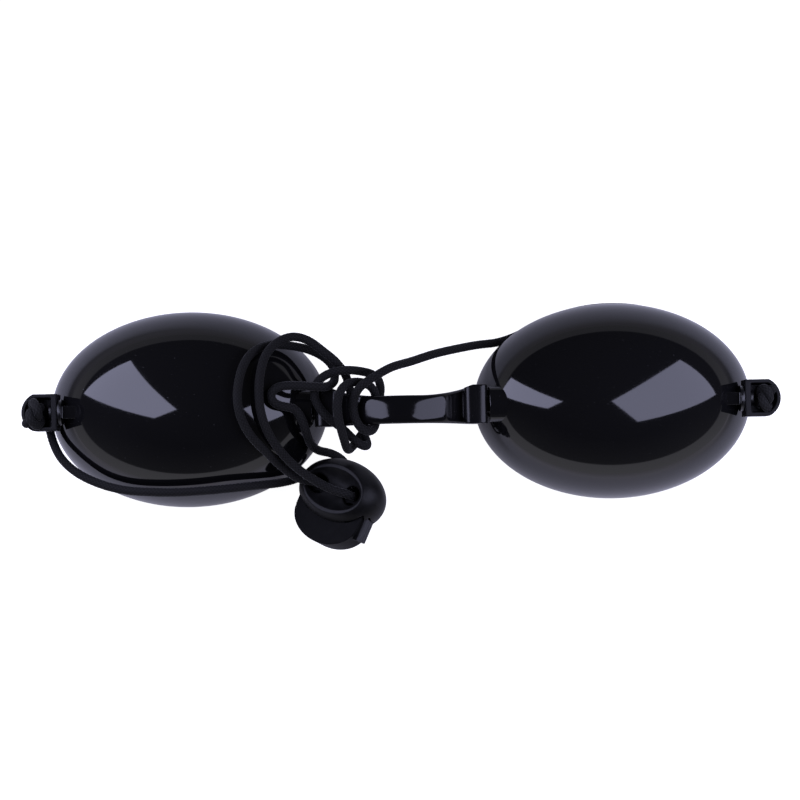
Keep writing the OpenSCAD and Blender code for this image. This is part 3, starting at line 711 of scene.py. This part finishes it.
# %% Lock body and plunger
def inner_corners(width, inner, corner):
    """Plan of the two rounded corners at the inner end of the slide or of the plunger."""
    points = []
    for s, start in ((1, 0), (-1, 90)):
        for k in range(13):
            a = math.radians(start + 7.5 * k)
            points.append((s * (width / 2 - corner) + corner * math.cos(a),
                           inner - corner + corner * math.sin(a)))
    return points


def rib_bar(name, slack, travel):
    """The rib on the plunger's side, or the notch that leaves it room."""
    return block(name, (PLUNGER_W / 2 - RIB_ROOT, rib_start, -RIB_WIDTH / 2 - slack),
                 (PLUNGER_W / 2 + RIB_DEPTH + slack, rib_start + RIB_LENGTH + travel + slack,
                  RIB_WIDTH / 2 + slack))


def cord_holes(y):
    """The tools for the two cord holes."""
    return [rod("hole", (s * HOLE_REACH, y, -CLEAR), (s * HOLE_REACH, y, CLEAR), HOLE_R) for s in (-1, 1)]


def laid(piece):
    """Turns a piece built round the lock's own middle to where the lock lies."""
    piece.data.transform(Matrix.Translation(LOCK_AT * MM) @ lock_matrix.to_4x4())
    return piece


def barrel():
    """The body, with its slide, holes, notch, dish and spring pocket."""
    width = PLUNGER_W + 2 * FIT
    plan = [(-width / 2, -SLIDE_MOUTH), (width / 2, -SLIDE_MOUTH)]
    plan += inner_corners(width, TRAVEL + SLIDE_GAP, SLIDE_CORNER)
    slide = prism("slide", plan, -PLUNGER_T / 2 - FIT, PLUNGER_T / 2 + FIT)
    dish = ball("dish", (0, 0, LOCK_HALF + DISH_RISE), DISH)
    pocket = rod("pocket", (0, 0, 0), (0, spring_seat, 0), POCKET)
    slab = block("slab", (-CLEAR, -CLEAR, -LOCK_HALF), (CLEAR, CLEAR, LOCK_HALF))
    body = carved(ball("lock_body_piece", (0, 0, 0), BARREL), "INTERSECT", slab)
    body = carved(body, "DIFFERENCE", slide, *cord_holes(0), rib_bar("notch", FIT, TRAVEL), dish, pocket)
    return laid(moulded(body, grain=0.14, rounds=4))


def slider():
    """The plunger, with its thumb end, holes, spring pocket and ridged rib."""
    plan = []
    for k in range(49):
        a = math.pi + math.pi * k / 48
        plan.append((PLUNGER_W / 2 * math.cos(a), PLUNGER_ROUND - PLUNGER_END + PLUNGER_ROUND * math.sin(a)))
    plan += inner_corners(PLUNGER_W, inner_end, SLIDE_CORNER - FIT)
    pocket = rod("pocket", (0, spring_start, 0), (0, POCKET_MOUTH, 0), POCKET)
    bar = prism("plunger_bar", plan, -PLUNGER_T / 2, PLUNGER_T / 2)
    bar = carved(bar, "DIFFERENCE", *cord_holes(-TRAVEL), pocket)
    x, low, high = PLUNGER_W / 2 + RIDGE_OUT, rib_start + RIDGE_INSET, rib_start + RIB_LENGTH - RIDGE_INSET
    ridges = [rod("ridge", (x, low, z), (x, high, z), RIDGE) for z in (-RIDGE_SPACING, 0, RIDGE_SPACING)]
    bar = joined("lock_plunger_piece", bar, rib_bar("rib", 0, 0), *ridges)
    return laid(moulded(bar, grain=0.12, rounds=3))


lock_body, plunger = barrel(), slider()

# %% [markdown]
# ## Shader arithmetic
# A finish is mostly sums of patterns. A small class lets a node's output be added and multiplied in plain
# Python, and one function makes any node, so that a finish reads as the formula that it is.

# %% Signals and nodes


class Signal:
    """A node's output that can be used in Python arithmetic."""

    def __init__(self, tree, socket):
        self.tree, self.socket = tree, socket

    def math(self, operation, *others):
        node = self.tree.nodes.new("ShaderNodeMath")
        node.operation = operation
        for slot, value in zip(node.inputs, (self, *others)):
            plug(self.tree, slot, value)
        return Signal(self.tree, node.outputs[0])

    def __add__(self, other):
        return self.math("ADD", other)

    def __sub__(self, other):
        return self.math("SUBTRACT", other)

    def __rsub__(self, other):
        return (self * -1) + other

    def __mul__(self, other):
        return self.math("MULTIPLY", other)

    def __truediv__(self, other):
        return self.math("DIVIDE", other)

    def __pow__(self, other):
        return self.math("POWER", other)

    def ramp(self, low, high):
        """Stretches the signal so that low becomes 0 and high becomes 1."""
        return add_node(self.tree, "ShaderNodeMapRange", {"Value": self, "From Min": low, "From Max": high})

    def mix(self, first, second):
        """A colour between two, the signal being the share of the second."""
        return add_node(self.tree, "ShaderNodeMix", {0: self, 6: first, 7: second}, {"data_type": "RGBA"}, 2)

    def parts(self):
        """The X, Y and Z of a vector."""
        split = self.tree.nodes.new("ShaderNodeSeparateXYZ")
        plug(self.tree, split.inputs[0], self)
        return [Signal(self.tree, out) for out in split.outputs]

    __radd__, __rmul__ = __add__, __mul__


def plug(tree, slot, value):
    """Links a signal to a socket, or sets the socket to a plain value."""
    if isinstance(value, Signal):
        tree.links.new(value.socket, slot)
    else:
        slot.default_value = value


def add_node(tree, kind, sockets=None, settings=None, out=0):
    """Any node: its settings are set first, then its sockets get values or links."""
    node = tree.nodes.new(kind)
    for name, value in (settings or {}).items():
        setattr(node, name, value)
    for name, value in (sockets or {}).items():
        plug(tree, node.inputs[name], value)
    return Signal(tree, node.outputs[out])


class Finish:
    """A material under construction, with one Principled shader at its end."""

    def __init__(self, name, **constants):
        self.material = bpy.data.materials.new(name)
        self.material.use_nodes = True
        self.tree = self.material.node_tree
        self.shader = next(n for n in self.tree.nodes if n.type == "BSDF_PRINCIPLED")
        for slot, value in constants.items():
            self.shader.inputs[slot.replace("_", " ")].default_value = value

    def node(self, kind, sockets=None, settings=None, out=0):
        return add_node(self.tree, kind, sockets, settings, out)

    def feed(self, slot, value):
        plug(self.tree, self.shader.inputs[slot], value)

    def place(self):
        return self.node("ShaderNodeTexCoord", out="Object")

    def noise(self, scale, detail, rough, vector=None):
        return self.node("ShaderNodeTexNoise", {"Vector": vector or self.place(), "Scale": scale,
                                                "Detail": detail, "Roughness": rough})

    def bump(self, height, strength, depth):
        sockets = {"Height": height, "Strength": strength, "Distance": depth}
        self.feed("Normal", self.node("ShaderNodeBump", sockets))


def grey(level, blue=1.0):
    return (level, level, level * blue, 1.0)


# %% [markdown]
# ## Finishes
# Everything here is black, so the finishes must be told apart by how they shine. The cups and the bridge
# are polished plastic: almost no colour of their own, a tight highlight, faint haze from handling and a
# few hairline marks. The hinge blocks, and the shoulder and peg at each cap, are less polished. The lock is
# the same plastic straight from a fine-textured mould, and its plunger's rib is painted paler as a painted
# highlight.

# %% Polished black plastic
DENT_DEPTH = 0.006


def polished(name, shine, polish, satin_where=None):
    """Black plastic with a given shine and roughness, and rougher where a rule of x, y and z says so."""
    finish = Finish(name, Specular_IOR_Level=shine, IOR=1.5)
    haze = finish.noise(90, 4, 0.6)
    specks = finish.noise(2600, 2, 0.5).ramp(0.735, 0.78)
    stretch = finish.node("ShaderNodeMapping", {"Vector": finish.place(), "Rotation": (0.2, 0.1, 0.6),
                                                "Scale": (1.0, 14.0, 14.0)})
    marks = finish.noise(160, 2, 0.5, stretch).ramp(0.7, 0.74)
    more = satin_where(*finish.place().parts()) if satin_where else 0.0
    finish.feed("Base Color", (specks * 0.5).mix(grey(0.0052, 1.12), grey(0.06, 1.05)))
    finish.feed("Roughness", polish + haze * 0.05 + specks * 0.3 + marks * 0.05 + more)
    finish.bump(finish.noise(260, 2, 0.5) + marks * -0.06, 0.5, DENT_DEPTH * MM)
    return finish


def near_blocks(x, y, z):
    """The hinge blocks, at the bridge's ends, are less polished than its strap."""
    return x.math("ABSOLUTE").ramp(12.5 * MM, 14 * MM) * 0.12


def near_peg(x, y, z):
    """The shoulder and the peg's head, at the cap, are as they came from the mould."""
    aside, above = y - PEG_Y * MM, z - PEG_Z * MM
    outboard = x.math("ABSOLUTE").ramp((CAP_X - 0.7) * MM, (CAP_X - 0.5) * MM)
    return outboard * (aside * aside + above * above).ramp(9 * MM ** 2, 7 * MM ** 2) * 0.3


gloss = polished("gloss_black", 0.5, 0.035, near_peg)
bridge_gloss = polished("bridge_black", 0.29, 0.07, near_blocks)
cap_gloss = polished("cap_black", 0.1, 0.36)

# %% Satin black plastic
GRAIN_DEPTH = 0.02


def satin_moulded(name, shine, rough, painted_highlight_from=None):
    """Fine-textured black plastic, rubbed in places, with a painted highlight that makes it paler past a
    distance along the lock's side.
    """
    finish = Finish(name, Specular_IOR_Level=shine, IOR=1.5)
    grain = finish.noise(5200, 3, 0.6)
    rubbed = finish.noise(420, 3, 0.6)
    shade = rubbed.ramp(0.35, 0.75).mix(grey(0.0042, 1.06), grey(0.0085, 1.04))
    # Painted highlight: past the given distance along the lock's side the colour turns paler.
    if painted_highlight_from:
        side = lock_matrix @ Vector((1, 0, 0))
        along = finish.node("ShaderNodeVectorMath", {0: finish.place(), 1: side},
                            {"operation": "DOT_PRODUCT"}, "Value")
        past = (along - side.dot(LOCK_AT) * MM).ramp((painted_highlight_from - 0.1) * MM, (painted_highlight_from + 0.1) * MM)
        shade = past.mix(shade, grey(0.07, 1.06))
    finish.feed("Base Color", shade)
    finish.feed("Roughness", rough + rubbed * 0.2 + grain * 0.06)
    finish.bump(grain * 0.7 + finish.noise(1500, 2, 0.5) * 0.5, 0.55, GRAIN_DEPTH * MM)
    return finish


satin = satin_moulded("lock_black", 0.17, 0.28)
# The plunger's rib, past its side, is painted paler: a painted highlight.
matt_black = satin_moulded("plunger_black", 0.04, 0.4, PLUNGER_W / 2 + 0.2)

# %% [markdown]
# ### The braid
# Eight strands wind each way round the elastic and pass over and under each other. The cord's UV map
# gives the turn round the cord and the run along it, so the same two diagonal counts that shaped the mesh
# drive the fine yarns and the colour: painted light on the strands' crowns and painted shade in the gaps.

# %% Braided elastic
YARNS, BRAID_BUMP = 5, 0.08


def strand(lay, over):
    """How high a strand stands, by the same formula as in the mesh."""
    wave = (lay * math.pi).math("SINE").math("ABSOLUTE")
    return wave ** STRAND_ROUND * (STRAND_MIDDLE + over * STRAND_SWING)


braid = Finish("cord_black", Sheen_Weight=0.14, Sheen_Roughness=0.3, Specular_IOR_Level=0.25)
uv = braid.node("ShaderNodeUVMap", None, {"uv_map": "braid"}).parts()
around_turn, along_run = uv[0] * float(CARRIERS), uv[1] / BRAID_PITCH
lay_a, lay_b = around_turn + along_run, around_turn - along_run
over_a = ((lay_b + lay_a.math("FLOOR")) * math.pi).math("SINE")
over_b = ((lay_a + lay_b.math("FLOOR")) * math.pi).math("SINE") * -1
strand_a, strand_b = strand(lay_a, over_a), strand(lay_b, over_b)
crown = strand_a.math("MAXIMUM", strand_b)
top_is_a = strand_a.math("GREATER_THAN", strand_b)
yarn = ((lay_a * top_is_a + lay_b * (1 - top_is_a)) * (2 * math.pi * YARNS)).math("SINE")
fuzz = braid.noise(9000, 3, 0.7)
# Painted light and shade: the crowns are coloured lighter and the gaps between the strands darker.
painted_crown_light = crown ** 2.5 * (0.35 + yarn * 0.2 + fuzz * 0.9)
braid.feed("Base Color", painted_crown_light.mix(grey(0.0006), grey(0.02, 1.06)))
braid.feed("Roughness", 0.62 + fuzz * 0.3)
braid.bump(crown + yarn * 0.07 + fuzz * 0.2, 0.9, BRAID_BUMP * MM)

# %% [markdown]
# ## The spring, with Geometry Nodes
# A spring follows a rule, so a node tree makes it: a spiral gives the line, a circle gives the wire, and
# Curve to Mesh sweeps one along the other. Its sizes are the tree's named inputs, and the result is kept
# as a plain mesh.

# %% Spring wire
wire = Finish("spring_steel", Metallic=1.0)
drawn = wire.noise(3800, 2, 0.6)
wire.feed("Base Color", drawn.mix(grey(0.42), grey(0.62, 1.02)))
wire.feed("Roughness", 0.22 + drawn * 0.2)

# %% Spring tree
WIRE, COIL, SPRING_GAP = 0.4, 1.25, 0.1
SPRING_LENGTH = spring_seat - spring_start - 2 * SPRING_GAP - WIRE
SPRING_SIZES = {"Turns": 6.0, "Coil radius": COIL * MM, "Wire radius": WIRE / 2 * MM,
                "Length": SPRING_LENGTH * MM}


def spring_tree(material):
    """The tree that sweeps a wire along a spiral, and the identifiers of its named inputs."""
    tree = bpy.data.node_groups.new("spring", "GeometryNodeTree")
    slots = {}
    for name, size in SPRING_SIZES.items():
        socket = tree.interface.new_socket(name, in_out="INPUT", socket_type="NodeSocketFloat")
        socket.default_value = size
        slots[name] = socket.identifier
    tree.interface.new_socket("Geometry", in_out="OUTPUT", socket_type="NodeSocketGeometry")
    source = tree.nodes.new("NodeGroupInput")
    turns, coil, thickness, length = (Signal(tree, source.outputs[name]) for name in SPRING_SIZES)
    spiral = add_node(tree, "GeometryNodeCurveSpiral", {
        "Resolution": 28, "Rotations": turns, "Start Radius": coil, "End Radius": coil, "Height": length})
    section = add_node(tree, "GeometryNodeCurvePrimitiveCircle", {"Resolution": 12, "Radius": thickness})
    sweep = add_node(tree, "GeometryNodeCurveToMesh", {
        "Curve": spiral, "Profile Curve": section, "Fill Caps": True})
    shade = add_node(tree, "GeometryNodeSetShadeSmooth", {0: sweep})
    real = add_node(tree, "GeometryNodeRealizeInstances", {0: shade})
    paint = add_node(tree, "GeometryNodeSetMaterial", {"Geometry": real, "Material": material})
    plug(tree, tree.nodes.new("NodeGroupOutput").inputs[0], paint)
    return tree, slots


# %% Spring mesh
spring = new_piece("lock_spring_piece", [(0, 0, 0)], [])
maker = spring.modifiers.new("spring", "NODES")
maker.node_group, slots = spring_tree(wire.material)
for name, size in SPRING_SIZES.items():
    maker[slots[name]] = size
settled(spring)
spring_foot = Matrix.Translation((0, (spring_start + SPRING_GAP + WIRE / 2) * MM, 0))
spring.data.transform(spring_foot @ Matrix.Rotation(-math.pi / 2, 4, "X"))
laid(spring)

# %% [markdown]
# ## Dressing and seating
# Each piece gets its finish, takes the place of its plain solid and rides on the body that carries it.

# %% Pieces on their bodies


def dress(piece, finish):
    """Gives a piece its finish."""
    piece.data.materials.clear()
    piece.data.materials.append(finish.material)


for piece, node, body, finish, slot_name in (
        (left_cup, "left_cup", "left_cup", gloss, "gloss_black"),
        (right_cup, "right_cup", "right_cup", gloss, "gloss_black"),
        (bridge, "nose_bridge", "bridge", bridge_gloss, "gloss_black"),
        (left_cap, "left_end_cap", "left_cup", cap_gloss, "gloss_black"),
        (right_cap, "right_end_cap", "right_cup", cap_gloss, "gloss_black"),
        (lock_body, "lock_body", "left_cup", satin, "lock_black"),
        (plunger, "lock_plunger", "plunger", matt_black, "lock_black"),
        (left_knot, "cord_left_knot", "left_cup", braid, "cord"),
        (right_knot, "cord_right_knot", "right_cup", braid, "cord"),
        (cord_left, "cord_left_run", "left_cup", braid, "cord"),
        (spring, "lock_spring", "left_cup", wire, "spring_steel")):
    dress(piece, finish)
    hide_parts(node)
    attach(piece, body)

# %% [markdown]
# ### Stretches that cross a hinge
# The two loops and the winding cross the left hinge, and the right run crosses the right one. These
# stretches get the braid's finish, take the place of their plain solids and keep fixed shapes. The spring
# gets a mesh of its own.

# %% Finishes for the stretches that cross a hinge
for piece in (cord_outer, cord_wound, cord_right):
    dress(piece, braid)
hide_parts("cord_outer_loop")
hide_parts("cord_inner_loop", "cord_winding")
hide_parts("cord_right_run")
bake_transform(cord_outer)
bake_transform(cord_wound)
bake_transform(cord_right)
1 - TRAVEL / (SPRING_LENGTH + WIRE)
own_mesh(spring)

# %% Cord lengths in metres
held = ([left_knot], [lock_body, plunger, spring], [], [right_knot])
for (cord, path, length), far_end, on_it in zip(cords, ("object", "object", "object", "knot"), held):
    length * MM

# %% [markdown]
# ## Floor, lamps and surroundings
# The shield lies on a plain white table between two soft boxes. The table shows white to the camera and
# still takes the object's soft shadow. To the polish it glows dimmer, with painted light that is brighter on
# the near side and a painted shadow that darkens it close to the shield, and it curves up into a pale
# sweep, which gives the cups the wide band round their flanks.

# %% Floor
FLOOR_HALF = 3000
TABLE_TINT, ROOM_TINT, LAMP_TINT = (0.87, 0.84, 1.0, 1.0), (0.92, 0.91, 1.0, 1.0), (0.7, 0.71, 1.0)

corners = [(x * FLOOR_HALF, y * FLOOR_HALF, 0) for x, y in ((-1, -1), (1, -1), (1, 1), (-1, 1))]
floor = new_piece("floor", corners, [(0, 1, 2, 3)])
table = bpy.data.materials.new("white_table")
table.use_nodes = True
tree = table.node_tree
tree.nodes.clear()
rays = tree.nodes.new("ShaderNodeLightPath")
seen, mirrored_ray = (Signal(tree, rays.outputs[kind]) for kind in ("Is Camera Ray", "Is Glossy Ray"))
table_y = add_node(tree, "ShaderNodeTexCoord", out="Object").parts()[1]
# What the polish sees of the table is painted light: brighter on its near side, and darker within a few
# centimetres of the shield as a painted shadow of it.
painted_light_near_side = table_y.ramp(30 * MM, -30 * MM)
clear_of_painted_shadow = table_y.math("ABSOLUTE").ramp(25 * MM, 140 * MM)
shine = 0.06 + painted_light_near_side * 0.17 + clear_of_painted_shadow * (0.18 + painted_light_near_side * 0.36)
matt = add_node(tree, "ShaderNodeBsdfDiffuse", {"Color": grey(0.82)})
glow = add_node(tree, "ShaderNodeEmission", {"Color": seen.mix(TABLE_TINT, grey(1.0)),
                                             "Strength": seen * 0.95 + mirrored_ray * shine})
both = add_node(tree, "ShaderNodeAddShader", {0: matt, 1: glow})
plug(tree, tree.nodes.new("ShaderNodeOutputMaterial").inputs[0], both)
floor.data.materials.append(table)


# %% Lamps
def soft_box(name, corners, radiance):
    """A rectangular lamp from three corners in millimetres: a first one and its two neighbours."""
    a, b, c = (Vector(p) * MM for p in corners)
    wide, tall = b - a, c - a
    lamp = bpy.data.lights.new(name, "AREA")
    lamp.shape = "RECTANGLE"
    lamp.size, lamp.size_y = wide.length, tall.length
    lamp.energy = radiance * 4 * wide.length * tall.length
    lamp.color = LAMP_TINT
    out = wide.cross(tall).normalized()
    middle = a + (wide + tall) / 2
    if out.dot(middle) < 0:
        out.negate()
    right = wide.normalized()
    facing = Matrix((right, out.cross(right), out)).transposed().to_4x4()
    added(name, lamp).matrix_world = Matrix.Translation(middle) @ facing


soft_box("right_box", ((47.1, -4.9, 169), (116, 66.2, 64.3), (87.6, -64.1, 155.5)), 3.1)
soft_box("left_box", ((-82.2, -4.1, 260.4), (-94.5, 67, 47.3), (-138.9, -41, 251.3)), 3.9)

# %% Room
world = bpy.data.worlds.new("studio")
bpy.context.scene.world = world
world.use_nodes = True
room = world.node_tree
room.nodes.clear()
rays = room.nodes.new("ShaderNodeLightPath")
polish, lens_ray = (Signal(room, rays.outputs[kind]) for kind in ("Is Glossy Ray", "Is Camera Ray"))
_, forward, height = add_node(room, "ShaderNodeTexCoord", out="Generated").parts()
sweep = (height + forward * 0.048).ramp(0.211, 0.199)
low, front = height.ramp(0.75, 0.25), forward.ramp(0.0, -0.6)
mirrored_room = 0.03 + sweep * (0.45 - forward * 0.22) + low * front * 0.09
strength = 0.1 + lens_ray * 0.95 + polish * (mirrored_room - 0.1)
sky = add_node(room, "ShaderNodeBackground", {"Color": lens_ray.mix(ROOM_TINT, grey(1.0)),
                                              "Strength": strength})
plug(room, room.nodes.new("ShaderNodeOutputWorld").inputs[0], sky)
bpy.context.scene.view_settings.view_transform = "Standard"
